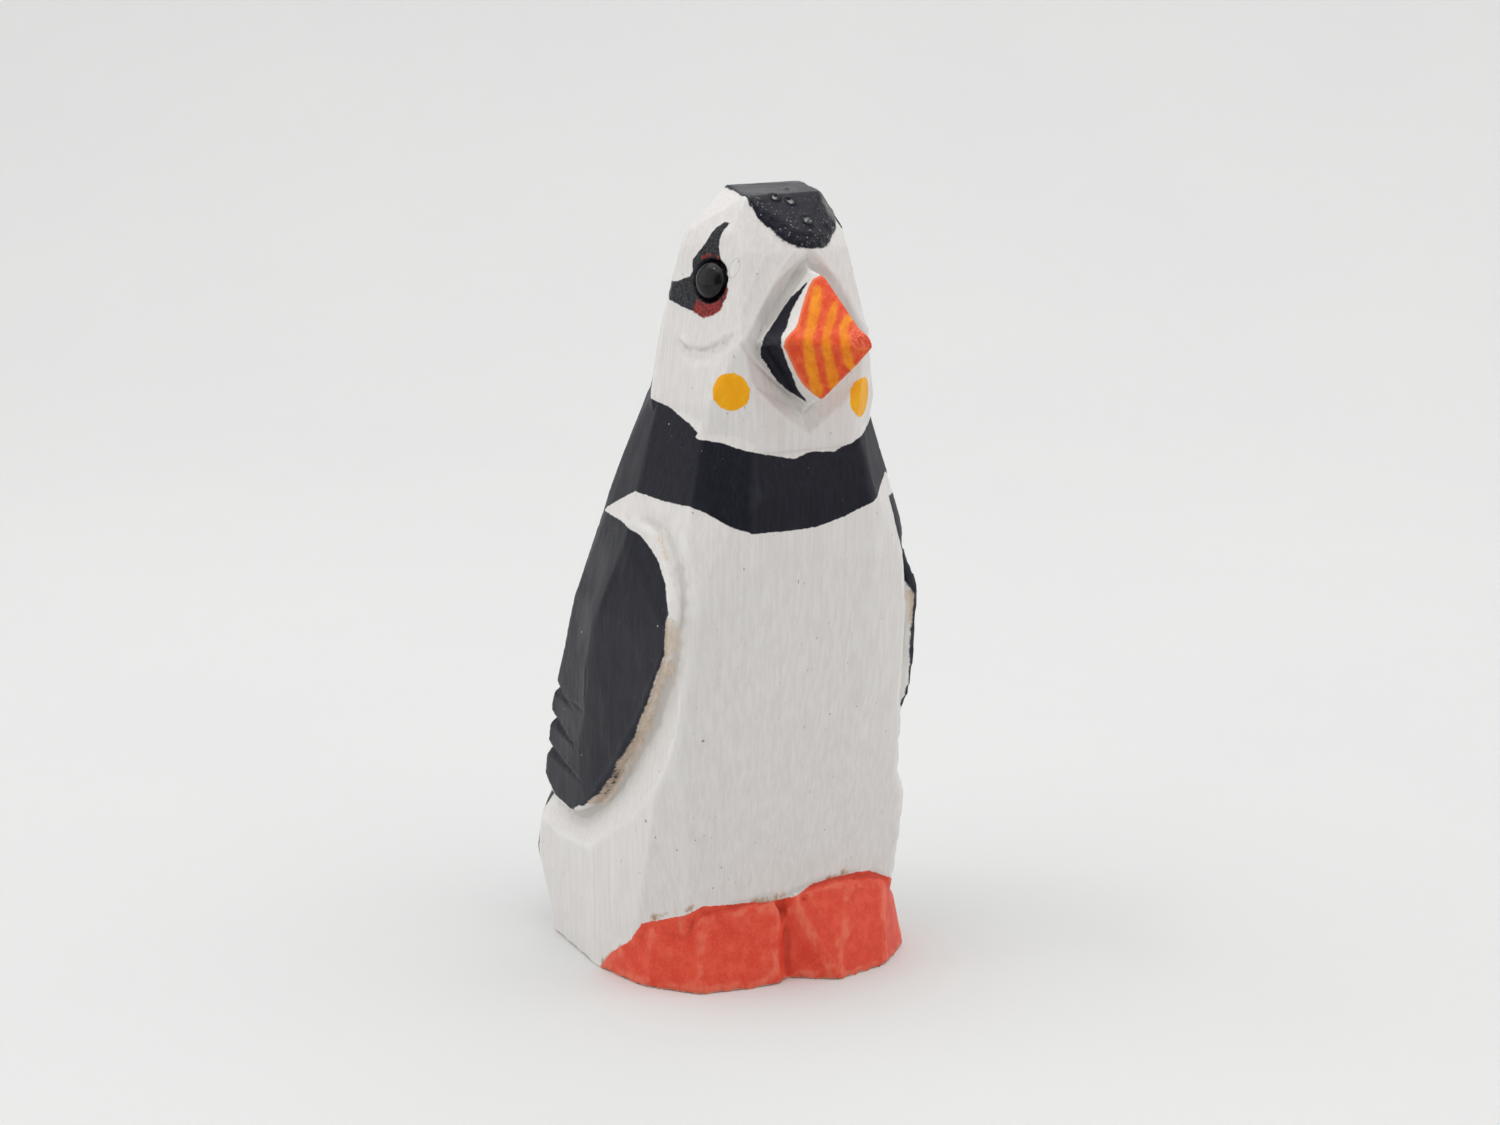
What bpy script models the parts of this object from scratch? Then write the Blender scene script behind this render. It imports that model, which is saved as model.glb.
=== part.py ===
"""A hand-carved and painted wooden puffin, 72 mm tall, with two black bead eyes.

The figure is knife work on one block of soft wood. Flat facets meet in ridges, each wing
stands proud behind a gouged channel, the beak grows out of a sunken diamond frame, and
the feet are two facetted lobes. It faces -Y, its left side is +X, and it stands on z = 0.
"""

import math

import bmesh
import bpy
from mathutils import Vector
from mathutils.bvhtree import BVHTree

# Sizes that can be set by themselves, in metres
HEIGHT = 0.072
EYE_DIAMETER = 0.0033
EYE_THICKNESS = 0.0019
EYE_PROUD = 0.0008
SOCKET_CLEARANCE = 0.0003

# The carving keeps its proportions: its places are in units of a 72nd of the height
UNIT = HEIGHT / 72

# Level cuts through the torso from the ground up: height, then the corners of the right
# half as (out from the middle, back from the middle), from the belly round to the back
TORSO_CUTS = (
    (0, (6.3, -5.2), (11.9, -3.4), (13.5, 4.2), (12.2, 15.3), (8, 17.4)),
    (8, (6.3, -6.9), (12.3, -6.2), (13.7, 4.6), (12.9, 17.5), (8.5, 19.8)),
    (14, (6.4, -8.0), (12.5, -7.2), (13.8, 5.2), (12.8, 16.2), (8.3, 19.6)),
    (22.8, (6.4, -9.6), (12.3, -8.1), (13.8, 6.0), (12.8, 14.2), (8, 18.2)),
    (34, (6.5, -11.2), (13.0, -8.9), (13.7, 3.0), (12.4, 9.9), (7.4, 14.9)),
    (40.5, (6.4, -11.9), (11.4, -8.7), (12.8, -0.5), (11.6, 6.3), (6.6, 12.2)),
    (46, (6.0, -11.9), (9.8, -8.1), (11.0, -1.4), (10.0, 6.1), (5.6, 10.6)),
    (58, (4.0, -8.4), (7.0, -6.2), (8.2, -1.2), (6.2, 3.2), (3.6, 6.0)),
)
# One long shaving off the front of the right thigh: a point on it and the way it faces
THIGH_SHAVING = ((-12.6, -2.6, 6), (-0.8, -0.6, -0.18))

# The same through the head, from under the cheeks to the crown
HEAD_CUTS = (
    (46.5, (4.2, -9.6), (7.2, -6.4), (8.4, -0.4), (6.8, 4.2), (4.0, 7.6)),
    (50, (4.6, -11.0), (8.2, -7.3), (9.3, -0.2), (7.3, 4.8), (4.2, 8.4)),
    (53.5, (3.0, -10.7), (8.4, -8.1), (9.7, 0.0), (7.4, 4.5), (4.2, 8.2)),
    (59.3, (6.4, -10.3), (7.4, -7.6), (9.0, -0.9), (7.0, 3.2), (3.8, 6.6)),
    (66.8, (0.8, -10.9), (5.3, -8.6), (7.7, -1.8), (5.8, 1.5), (3.0, 4.4)),
    (68.4, (0.6, -10.2), (5.6, -7.2), (6.9, -2.2), (5.2, 1.0), (2.6, 3.2)),
)
CROWN = ((-4.0, -6.8, 71.4), (3.6, -6.6, 71.5), (-2.7, -1.2, 71.9), (4.8, -0.8, 72))

# Diamonds across the beak, from inside the head to the tip: reach, half width, low, high
BEAK_CUTS = (
    (-8.0, 4.8, 52.5, 65.9),
    (-10.0, 4.6, 53.0, 65.7),
    (-13.0, 3.95, 54.2, 65.1),
    (-18.9, 1.2, 58.2, 61.1),
    (-19.8, 0.6, 58.9, 60.4),
)
# The frame round the root of the beak is sunk inwards from these two diamonds
FRAME_OUTER = (-11.6, 12.2, 49.8, 68.2)
FRAME_INNER = (-9.9, 4.6, 52.8, 65.7)

# Corners of each foot: the outline on the ground, then the top edge against the belly
RIGHT_FOOT = (
    ((-13.5, 4.2), (-12.4, -3.0), (-9.1, -7.4), (-4.9, -8.3), (-1.6, -8.6), (0.8, -6.9)),
    ((-13.3, 0.4, 3.0), (-12.0, -3.6, 5.7), (-8.6, -6.8, 6.9), (-1.2, -7.6, 7.5)),
)
LEFT_FOOT = (
    ((-0.8, -6.9), (3.9, -10.3), (9.7, -8.9), (11.3, -6.6), (14.3, -4.8), (13.6, 3.4)),
    ((0.4, -7.2, 7.6), (6.4, -7.7, 8.4), (10.6, -6.9, 7.4), (13.2, -4.6, 5.2)),
)
# Where the feet end inside the belly: how far back, the height, and how far each of them
# runs past the other one's inner edge
FOOT_ROOT = (3.0, 5.0, 1.0)

# Corners of the right half of the short tail, from its root on the back down and round
TAIL = ((5.6, 16, 17.5), (5.2, 20.8, 9.5), (4.6, 21.5, 5.6), (3.6, 20.8, 3.0), (4.2, 16, 1.4))

# A gouged channel is a row of stations. Each gives the steep edge and the far edge as
# (turn from the front in degrees, height), and the depth under the steep edge
WING_CHANNEL = (
    ((80, 42.3), (78, 43.4), 0.15),
    ((62, 42.2), (58, 44.2), 0.5),
    ((52, 40.4), (47, 42.6), 0.9),
    ((47.5, 37.2), (39.5, 38.4), 1.1),
    ((48.7, 32.8), (41.2, 32.5), 1.3),
    ((54, 29.4), (44, 28.8), 1.5),
    ((63, 24.9), (48, 23.0), 1.7),
    ((81, 19.6), (60, 17.6), 1.8),
    ((98, 15.6), (95, 11.8), 1.8),
    ((116, 13.6), (115, 10.8), 1.8),
    ((131, 14.4), (134, 11.0), 1.7),
    ((137, 17.0), (147, 15.6), 1.5),
    ((133, 22.0), (145, 22.4), 1.2),
    ((129, 29.0), (137, 30.0), 0.4),
)
# The left wing comes further forward: its station, then that station's two edges
LEFT_STATIONS = (
    (5, (49.5, 29.4), (42.5, 28.8)),
    (6, (52, 24.9), (45, 23.0)),
    (7, (66, 19.6), (51.6, 16.0)),
)
# Knife nicks in the rear edge of each wing run forward and down between its feathers:
# the height at the rear, then the turn and height where the cut runs out, and its depth
WING_NICKS = ((25.7, 112, 23.7, 0.8), (22.5, 105, 19.9, 1.0), (19.2, 103, 17.3, 0.8))
NICK_REAR_TURN = 139
# Along a nick: share of the way forward, share of its full depth and width
NICK_TAPER = ((0, 1.0), (0.3, 0.8), (1, 0.12))
NICK_WIDTH = (0.5, 0.8)
# A knife cut that lifts a rounded lid of wood under each eye
EYE_CHANNEL = (
    ((83, 59.2), (86, 57.8), 0.1),
    ((68, 58.5), (70, 56.8), 0.55),
    ((54, 59.0), (51, 57.0), 0.6),
    ((43, 60.4), (40, 59.0), 0.2),
)
# The left bead sits a little further back than the right one
EYE_PLACES = {"right": (61.5, 64.3), "left": (70, 64.3)}
# Turns are measured round upright axes this far back in the torso and in the head
TORSO_AXIS = 3.0
HEAD_AXIS = -2.0
# How far a cutter stands out of the wood, and how far its far edge overshoots the skin
CUT_REACH = 1.5
CUT_OVERSHOOT = 0.04
STATION_STEPS = 3
OUTSIDE = 40
# Wood below the ground that the saw takes off: torso, right foot, left foot
SAW_WASTE = (1.0, 0.9, 1.1)


def clear_scene():
    for item in list(bpy.data.objects):
        bpy.data.objects.remove(item)


def painted(name, colour, roughness):
    material = bpy.data.materials.new(name)
    material.use_nodes = True
    shader = material.node_tree.nodes["Principled BSDF"]
    shader.inputs["Base Color"].default_value = (*colour, 1)
    shader.inputs["Roughness"].default_value = roughness
    shader.inputs["Metallic"].default_value = 0
    return material


def add_object(name, shape, cutter=False):
    """The bmesh, in carving units, as an object in metres."""
    bmesh.ops.triangulate(shape, faces=shape.faces)
    bmesh.ops.recalc_face_normals(shape, faces=shape.faces)
    bmesh.ops.scale(shape, vec=(UNIT, UNIT, UNIT), verts=shape.verts)
    mesh = bpy.data.meshes.new(name)
    shape.to_mesh(mesh)
    shape.free()
    item = bpy.data.objects.new(name, mesh)
    bpy.context.scene.collection.objects.link(item)
    if cutter:
        item.hide_render = True
        item.display_type = "WIRE"
    return item


def hull(points):
    """The tightest body with flat facets round these points."""
    shape = bmesh.new()
    for point in points:
        shape.verts.new(point)
    made = bmesh.ops.convex_hull(shape, input=shape.verts)
    spare = {item for item in made["geom_interior"] if isinstance(item, bmesh.types.BMVert)}
    bmesh.ops.delete(shape, geom=list(spare), context="VERTS")
    return shape


def both_sides(points):
    return [(side * x, y, z) for x, y, z in points for side in (-1, 1)]


def cut_points(cuts):
    corners = [(x, y, height) for height, *outline in cuts for x, y in outline]
    return both_sides(corners)


def diamond(reach, half_width, low, high):
    middle = (low + high) / 2
    return [
        (0, reach, high),
        (half_width, reach, middle),
        (0, reach, low),
        (-half_width, reach, middle),
    ]


def shave(shape, place, facing):
    """Takes off what stands proud of one flat cut."""
    everything = shape.verts[:] + shape.edges[:] + shape.faces[:]
    cut = bmesh.ops.bisect_plane(
        shape, geom=everything, plane_co=place, plane_no=facing, clear_outer=True
    )
    rim = [item for item in cut["geom_cut"] if isinstance(item, bmesh.types.BMEdge)]
    bmesh.ops.contextual_create(shape, geom=rim)


def torso():
    waste = [(x, y, -SAW_WASTE[0]) for x, y in TORSO_CUTS[0][1:]]
    shape = hull(cut_points(TORSO_CUTS) + both_sides(waste))
    shave(shape, *THIGH_SHAVING)
    return shape


def head():
    return hull(cut_points(HEAD_CUTS) + list(CROWN))


def beak():
    return hull([point for cut in BEAK_CUTS for point in diamond(*cut)])


def frame_cutter():
    return hull(diamond(*FRAME_OUTER) + diamond(*FRAME_INNER))


def foot(ground, top, waste):
    """A lobe that runs back into the belly and a little below the ground."""
    middle = sum(x for x, _ in ground) / len(ground)
    outline = [(x, y, height) for x, y in ground for height in (0, -waste)]
    depth, height, past = FOOT_ROOT
    inner = -math.copysign(past, middle)
    root = [(x, depth, z) for x in (middle, inner) for z in (height, -waste)]
    return hull(outline + list(top) + root)


def saw():
    """The block that takes the waste off below the ground."""
    shape = bmesh.new()
    bmesh.ops.create_cube(shape, size=2 * OUTSIDE)
    bmesh.ops.translate(shape, vec=(0, 0, -OUTSIDE), verts=shape.verts)
    return shape


class Skin:
    """Finds places on a carved mass by the turn from the front and the height."""

    def __init__(self, shape, axis, side):
        self.tree = BVHTree.FromBMesh(shape)
        self.axis = axis
        self.side = side

    def outward(self, turn):
        angle = math.radians(turn)
        return Vector((self.side * math.sin(angle), -math.cos(angle), 0))

    def hit(self, turn, height):
        middle = Vector((0, self.axis, height))
        start = middle + OUTSIDE * self.outward(turn)
        point, normal, _, _ = self.tree.ray_cast(start, -self.outward(turn))
        return point, normal


def flowing(stations):
    """The stations with STATION_STEPS to each gap, on a curve through them."""
    rows = [(*steep, *far, depth) for steep, far, depth in stations]
    rows = [rows[0], *rows, rows[-1]]
    for before, first, second, after in zip(rows, rows[1:], rows[2:], rows[3:]):
        for step in range(STATION_STEPS):
            t = step / STATION_STEPS
            row = [
                b + t / 2 * (c - a + t * (2 * a - 5 * b + 4 * c - d + t * (3 * (b - c) + d - a)))
                for a, b, c, d in zip(before, first, second, after)
            ]
            yield row[0:2], row[2:4], row[4]
    yield stations[-1]


def left_channel():
    stations = list(WING_CHANNEL)
    for place, steep, far in LEFT_STATIONS:
        stations[place] = (steep, far, stations[place][-1])
    return stations


def channel_cutter(skin, stations):
    """A V-shaped cutter swept along the stations, open side outwards."""
    shape = bmesh.new()
    rings = []
    for steep, far, depth in flowing(stations):
        edge, normal = skin.hit(*steep)
        rim, facing = skin.hit(*far)
        corners = (
            edge - depth * normal,
            edge + CUT_REACH * normal,
            rim + CUT_REACH * facing,
            rim + CUT_OVERSHOOT * facing,
        )
        rings.append([shape.verts.new(point) for point in corners])
    for first, second in zip(rings, rings[1:]):
        for corner in range(4):
            following = (corner + 1) % 4
            ends = (first[corner], first[following], second[following], second[corner])
            shape.faces.new(ends)
    shape.faces.new(rings[0])
    shape.faces.new(rings[-1])
    return shape


def nick_stations(height, inner_turn, inner_height, depth):
    """A cut that is deepest at the wing's rear edge and runs out on its side."""
    stations = []
    least, more = NICK_WIDTH
    for forward, share in NICK_TAPER:
        turn = NICK_REAR_TURN + (inner_turn - NICK_REAR_TURN) * forward
        steep = height + (inner_height - height) * forward
        far = steep - least - more * share
        stations.append(((turn, steep), (turn, far), depth * share))
    return stations


def face_outwards(shape, centre, direction):
    """Turns a shape made round +Z to the direction, and moves it to the centre."""
    turn = Vector((0, 0, 1)).rotation_difference(direction).to_matrix()
    bmesh.ops.rotate(shape, matrix=turn, verts=shape.verts)
    bmesh.ops.translate(shape, vec=centre, verts=shape.verts)


def drill(centre, direction, radius, depth):
    """A round cutter from outside the skin down to the depth."""
    shape = bmesh.new()
    bmesh.ops.create_cone(
        shape, cap_ends=True, segments=24, radius1=radius, radius2=radius, depth=2 * depth
    )
    face_outwards(shape, centre, direction)
    return shape


def join(body, tool, operation):
    modifier = body.modifiers.new(tool.name, "BOOLEAN")
    modifier.operation = operation
    modifier.solver = "EXACT"
    modifier.object = tool


def add_eye(name, place, normal, body, material):
    """Drills the socket and seats the flattened bead in it."""
    radius = EYE_DIAMETER / UNIT / 2
    half = EYE_THICKNESS / UNIT / 2
    gap = SOCKET_CLEARANCE / UNIT
    sunk = 2 * half - EYE_PROUD / UNIT
    socket = drill(place, normal, radius + gap, sunk + gap)
    join(body, add_object(f"{name}_socket", socket, cutter=True), "DIFFERENCE")
    bead = bmesh.new()
    bmesh.ops.create_uvsphere(bead, u_segments=24, v_segments=16, radius=radius)
    bmesh.ops.scale(bead, vec=(1, 1, half / radius), verts=bead.verts)
    face_outwards(bead, place + (half - sunk) * normal, normal)
    item = add_object(name, bead)
    item.data.shade_smooth()
    item.data.materials.append(material)


def stand_on_origin():
    """Moves everything so that the middle of the box's underside is at the origin."""
    bpy.context.view_layer.update()
    graph = bpy.context.evaluated_depsgraph_get()
    shape = bpy.data.objects["puffin_body"].evaluated_get(graph).data
    places = [vertex.co for vertex in shape.vertices]
    low = Vector(min(place[axis] for place in places) for axis in range(3))
    high = Vector(max(place[axis] for place in places) for axis in range(3))
    base = bpy.data.objects.new("puffin_base", None)
    bpy.context.scene.collection.objects.link(base)
    for item in bpy.data.objects:
        if item is not base:
            item.parent = base
    base.location = -Vector(((low.x + high.x) / 2, (low.y + high.y) / 2, low.z))


def build():
    clear_scene()
    white = painted("white_paint_on_wood", (0.74, 0.72, 0.70), 0.6)
    black = painted("black_bead", (0.008, 0.008, 0.01), 0.08)
    torso_shape = torso()
    head_shape = head()
    skins = [
        (name, Skin(torso_shape, TORSO_AXIS, side), Skin(head_shape, HEAD_AXIS, side))
        for name, side in (("right", -1), ("left", 1))
    ]
    body = add_object("puffin_body", torso_shape)
    body.data.materials.append(white)
    for name, torso_skin, _ in skins:
        for number, nick in enumerate(WING_NICKS):
            cut = channel_cutter(torso_skin, nick_stations(*nick))
            tool = add_object(f"{name}_wing_nick_{number}", cut, cutter=True)
            join(body, tool, "DIFFERENCE")
        stations = WING_CHANNEL if name == "right" else left_channel()
        channel = channel_cutter(torso_skin, stations)
        join(body, add_object(f"{name}_wing_channel", channel, cutter=True), "DIFFERENCE")
    join(body, add_object("head", head_shape, cutter=True), "UNION")
    for name, _, head_skin in skins:
        channel = channel_cutter(head_skin, EYE_CHANNEL)
        tool = add_object(f"{name}_eye_channel", channel, cutter=True)
        join(body, tool, "DIFFERENCE")
    join(body, add_object("beak_frame", frame_cutter(), cutter=True), "DIFFERENCE")
    join(body, add_object("beak", beak(), cutter=True), "UNION")
    right_foot = foot(*RIGHT_FOOT, SAW_WASTE[1])
    left_foot = foot(*LEFT_FOOT, SAW_WASTE[2])
    join(body, add_object("right_foot", right_foot, cutter=True), "UNION")
    join(body, add_object("left_foot", left_foot, cutter=True), "UNION")
    join(body, add_object("tail", hull(both_sides(TAIL)), cutter=True), "UNION")
    join(body, add_object("saw", saw(), cutter=True), "DIFFERENCE")
    for name, _, head_skin in skins:
        add_eye(f"eye_{name}", *head_skin.hit(*EYE_PLACES[name]), body, black)
    stand_on_origin()


build()
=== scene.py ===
"""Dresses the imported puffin: knife relief, brushed paint, bead eyes, floor, light, camera.

Lengths are in millimetres, but those of the lamps and the sweep of card are in metres. The
figure faces -Y and its own right side is -X, on the left of the photograph. Outlines of
paint that the photograph shows are given in its pixels, and are found on the carved wood
along the camera's rays.
"""

import math

import bmesh
import bpy
import numpy as np
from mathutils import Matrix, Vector, noise
from mathutils.bvhtree import BVHTree
from mathutils.kdtree import KDTree


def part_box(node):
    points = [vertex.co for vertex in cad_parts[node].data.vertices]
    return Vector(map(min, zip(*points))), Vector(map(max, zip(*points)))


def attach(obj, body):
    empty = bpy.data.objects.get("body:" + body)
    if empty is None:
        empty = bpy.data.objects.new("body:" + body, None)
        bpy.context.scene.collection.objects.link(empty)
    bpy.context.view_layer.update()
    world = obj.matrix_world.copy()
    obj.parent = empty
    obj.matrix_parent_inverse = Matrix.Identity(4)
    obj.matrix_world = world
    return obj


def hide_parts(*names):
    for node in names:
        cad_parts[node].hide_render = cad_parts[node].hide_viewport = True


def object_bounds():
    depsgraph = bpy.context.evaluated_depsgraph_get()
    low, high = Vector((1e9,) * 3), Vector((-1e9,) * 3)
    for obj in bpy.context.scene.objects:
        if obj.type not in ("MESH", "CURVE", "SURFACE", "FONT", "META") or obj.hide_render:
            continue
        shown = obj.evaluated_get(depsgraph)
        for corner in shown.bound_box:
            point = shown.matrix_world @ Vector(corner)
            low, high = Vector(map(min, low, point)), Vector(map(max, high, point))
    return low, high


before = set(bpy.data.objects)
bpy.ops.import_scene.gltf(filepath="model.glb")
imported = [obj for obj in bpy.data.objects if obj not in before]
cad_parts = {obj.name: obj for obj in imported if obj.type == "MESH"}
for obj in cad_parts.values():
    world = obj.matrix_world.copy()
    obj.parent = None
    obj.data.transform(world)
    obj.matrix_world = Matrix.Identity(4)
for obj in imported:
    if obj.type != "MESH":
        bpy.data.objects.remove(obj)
cad_box = [list(corner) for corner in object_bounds()]

MM = 0.001
PHOTO = (1500, 1125)
SENSOR = 36.0
LENS = 73.9
FOCAL = LENS / SENSOR * PHOTO[0]
# Pixels to a millimetre of the figure's height, for outlines that stay flat in the picture
PIXELS_PER_MM = 11.5
CAMERA_TURN = 30.0
CAMERA_RISE = 12.0
CAMERA_DISTANCE = 280.0
CAMERA_TARGET = (-0.15, -1.35, 37.6)

# Turns are measured round upright axes this far back, and unrolled on these radii
TORSO_AXIS = 2.15
TORSO_RADIUS = 13.0
HEAD_AXIS = -2.85
HEAD_RADIUS = 9.0

# The diamond that the beak fills as seen from the front
BEAK_HALF_WIDTH = 5.0
BEAK_MIDDLE = 59.2
BEAK_HALF_HEIGHT = 7.0
# Beak paint stays within a share of that diamond and in front of its start. Both differ
# between the near side and the far side, which begins a little past the middle
BEAK_FAR_SIDE = 0.3
NEAR_BEAK_SHARE = 1.12
FAR_BEAK_SHARE = 0.95
NEAR_BEAK_START = -9.0
FAR_BEAK_START = -11.5

# The size of the net that the body is dressed in
VOXEL = 0.38
# The net is twice as fine in these boxes: the head's front, and the right wing's nicks
FINE_BOXES = (
    ((-15, -21, 50.5), (15, -0.5, 72)),
    ((-15, 3.0, 13.5), (-10, 17, 28.5)),
)
# Edges of the wood sharper than this angle are ridges, and are found by points this far
# apart. A vertex nearer to a ridge than this share of the net's size is put on to it
SHARP_ANGLE = 13.0
RIDGE_STEP = 0.05
SNAP_REACH = 0.42

# The light box: its strength, and that of its opening, which fades out between two angles
BOX_LIGHT = 0.98
OPENING_LIGHT = 0.2
OPENING_MIDDLE = 20.0
OPENING_EDGE = 44.0
# Lamps: name, place and size in metres, power in watts; all point at one place
LAMPS = (
    ("top_box", (0.0, 0.05, 0.55), (0.7, 0.7), 1.3),
    ("left_box", (-0.4, 0.33, 0.22), (0.4, 0.5), 0.1),
    ("right_box", (0.42, 0.26, 0.22), (0.4, 0.5), 0.2),
    ("small_lamp", (-0.27, 0.0, 0.56), (0.06, 0.06), 0.14),
)
LAMP_AIM = (0.0, 0.0, 0.035)

# The sweep of card in metres: its front, the start and radius of its bend, and its top
SWEEP_HALF_WIDTH = 1.4
SWEEP_FRONT = -0.9
SWEEP_BEND = 0.25
SWEEP_RADIUS = 0.25
SWEEP_TOP = 1.1
SWEEP_STEPS = 12

# The value of a paint's distance field where that paint can't be
OUTSIDE = -5.0
# The cap's paint stays above these heights, in front of the forehead's line and behind it
FOREHEAD = -4.0
CAP_LOW_FRONT = 66.92
CAP_LOW_BACK = 48.0
# The paint about the eyes stays above this height
EYE_LOW = 55.0
SOCKET_RADIUS = 2.08
# Half widths of painted lines
FAR_SPIKE_HALF = 0.23
RED_LINE_HALF = 0.13
BARE_BAND_HALF = 0.62

# Shallow knife cuts all over: how many, their steepest tilt in degrees, and their seed
KNIFE_CUTS = 700
KNIFE_TILT = 2.2
KNIFE_SEED = 3
# A cut rises with the square of the distance from its middle and where the wood turns away
KNIFE_BEND = 0.012
KNIFE_TURN_AWAY = 0.4
KNIFE_LIMITS = (-0.15, 0.1)
# Their share in the relief, and how many places are worked out at a time
KNIFE_SHARE = 0.55
KNIFE_BATCH = 8192
# Heights of the rest of the relief
GRAIN_HEIGHT = 0.014
LUMP_HEIGHT = 0.03
PAINT_THICKNESS = 0.04
CAP_THICKNESS = 0.08
CAP_CRUST = 0.02
CAP_RIM_CRUST = 0.06
PIT_RIM = 0.12
PIT_DEPTH = 0.1
BUBBLE_HEIGHT = 0.13

# A bead: its net, and shares of its size for its swell, its seam and the wear at its crown
BEAD_RINGS = 40
BEAD_AROUND = 64
BEAD_SWELL = 0.995
BEAD_SEAM = 0.012
BEAD_WEAR = 0.03


def camera_axes():
    turn = math.radians(CAMERA_TURN)
    rise = math.radians(CAMERA_RISE)
    back = Vector(
        (-math.sin(turn) * math.cos(rise), -math.cos(turn) * math.cos(rise), math.sin(rise))
    )
    right = Vector((math.cos(turn), -math.sin(turn), 0))
    return right, back.cross(right), back


RIGHT, UP, BACK = camera_axes()
EYE_POINT = Vector(CAMERA_TARGET) + CAMERA_DISTANCE * BACK


def packed_wood():
    """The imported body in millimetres, with its corners joined up."""
    shape = bmesh.new()
    shape.from_mesh(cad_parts["puffin_body"].data)
    bmesh.ops.scale(shape, vec=(1 / MM, 1 / MM, 1 / MM), verts=shape.verts)
    bmesh.ops.remove_doubles(shape, verts=shape.verts, dist=0.001)
    shape.normal_update()
    return shape


def ridge_points(shape):
    """Closely spaced points along the sharp edges of the wood, as a tree."""
    points = []
    for edge in shape.edges:
        if edge.calc_face_angle(0) > math.radians(SHARP_ANGLE):
            first, second = (vertex.co for vertex in edge.verts)
            count = max(1, round(edge.calc_length() / RIDGE_STEP))
            points += [first.lerp(second, step / count) for step in range(count + 1)]
    tree = KDTree(len(points))
    for number, point in enumerate(points):
        tree.insert(point, number)
    tree.balance()
    return tree


WOOD_SHAPE = packed_wood()
WOOD = BVHTree.FromBMesh(WOOD_SHAPE)
RIDGE_TREE = ridge_points(WOOD_SHAPE)


def landed(u, v):
    """Where a pixel of the photograph lies on the wood, from inside its outline if need be."""
    towards = 1 if u < PHOTO[0] / 2 else -1
    for step in range(60):
        across = (u + towards * step - PHOTO[0] / 2) / FOCAL
        down = (v - PHOTO[1] / 2) / FOCAL
        ray = RIGHT * across - UP * down - BACK
        point = WOOD.ray_cast(EYE_POINT, ray)[0]
        if point is not None:
            return np.array(point)
    raise ValueError(f"pixel {u}, {v} misses the wood")


def round_torso(places):
    places = np.atleast_2d(places)
    turn = np.arctan2(places[:, 0], TORSO_AXIS - places[:, 1])
    return np.column_stack((turn * TORSO_RADIUS, places[:, 2]))


def round_head(places):
    places = np.atleast_2d(places)
    turn = np.arctan2(places[:, 0], HEAD_AXIS - places[:, 1])
    return np.column_stack((turn * HEAD_RADIUS, places[:, 2]))


def from_above(places):
    return np.atleast_2d(places)[:, :2]


def right_side(places):
    """Places on the left of the figure mirrored on to its right, which the photograph shows."""
    return np.column_stack((-np.abs(places[:, 0]), places[:, 1:]))


def in_photo(places):
    """The pixels of the photograph at which places appear."""
    way = places - np.array(EYE_POINT)
    scale = FOCAL / (way @ -np.array(BACK))
    across = PHOTO[0] / 2 + way @ np.array(RIGHT) * scale
    down = PHOTO[1] / 2 - way @ np.array(UP) * scale
    return np.column_stack((across, down))


def torso_turns(*rows):
    """Hidden points of an outline, from turns in degrees and heights."""
    return [(math.radians(turn) * TORSO_RADIUS, height) for turn, height in rows]


def seen(flat, *pixels):
    """Visible points of an outline, laid flat."""
    return [tuple(flat(landed(u, v))[0]) for u, v in pixels]


def mirrored(points):
    return [(-across, height) for across, height in points]


def way_from_edge(points, first, second):
    """The way to each point from its nearest place on an edge, and how far along that is."""
    edge = second - first
    way = points - first
    share = np.clip(way @ edge / max(edge @ edge, 1e-9), 0, 1)
    return way - share[:, None] * edge, share


def signed_distance(points, outline):
    """Distance to a closed outline, positive inside it."""
    corners = np.array(outline, float)
    nearest = np.full(len(points), np.inf)
    inside = np.zeros(len(points), bool)
    across, height = points[:, 0], points[:, 1]
    for first, second in zip(corners, np.roll(corners, -1, axis=0)):
        gap, _ = way_from_edge(points, first, second)
        nearest = np.minimum(nearest, (gap**2).sum(axis=1))
        run, rise = second - first
        rise = rise if rise else 1e-9
        crosses = (first[1] > height) != (second[1] > height)
        inside ^= crosses & (across < first[0] + (height - first[1]) / rise * run)
    return np.sqrt(nearest) * np.where(inside, 1, -1)


def line_distance(points, line):
    """Distance to an open line of points, in as many dimensions as they have."""
    corners = np.array(line, float)
    nearest = np.full(len(points), np.inf)
    for first, second in zip(corners, corners[1:]):
        gap, _ = way_from_edge(points, first, second)
        nearest = np.minimum(nearest, (gap**2).sum(axis=1))
    return np.sqrt(nearest)


# Paint outlines, in pixels of the photograph
FACE_EDGE = (
    (648, 375), (651, 392), (670, 407), (689, 423), (698, 433), (695, 438), (721, 443),
    (750, 452), (794, 459), (812, 451), (833, 452), (856, 439), (868, 423), (873, 417),
)
COLLAR_EDGE = (
    (884, 472), (878, 492), (874, 501), (845, 516), (815, 527), (787, 531), (753, 534),
    (730, 527), (707, 514), (691, 507),
)
SPIKE_TOP = ((663, 501), (636, 491), (605, 509))
WING_FRONT = (
    (605, 510), (622, 521), (640, 534), (652, 550), (659, 563), (666, 585), (669, 614),
    (666, 623), (664, 656), (655, 679), (646, 705), (635, 737), (619, 775), (606, 792),
    (597, 805), (579, 805), (572, 810),
)
LEFT_WING_FRONT = (
    (888, 496), (895, 525), (902, 551), (907, 585), (914, 596), (912, 615), (909, 649),
    (905, 690),
)
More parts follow.
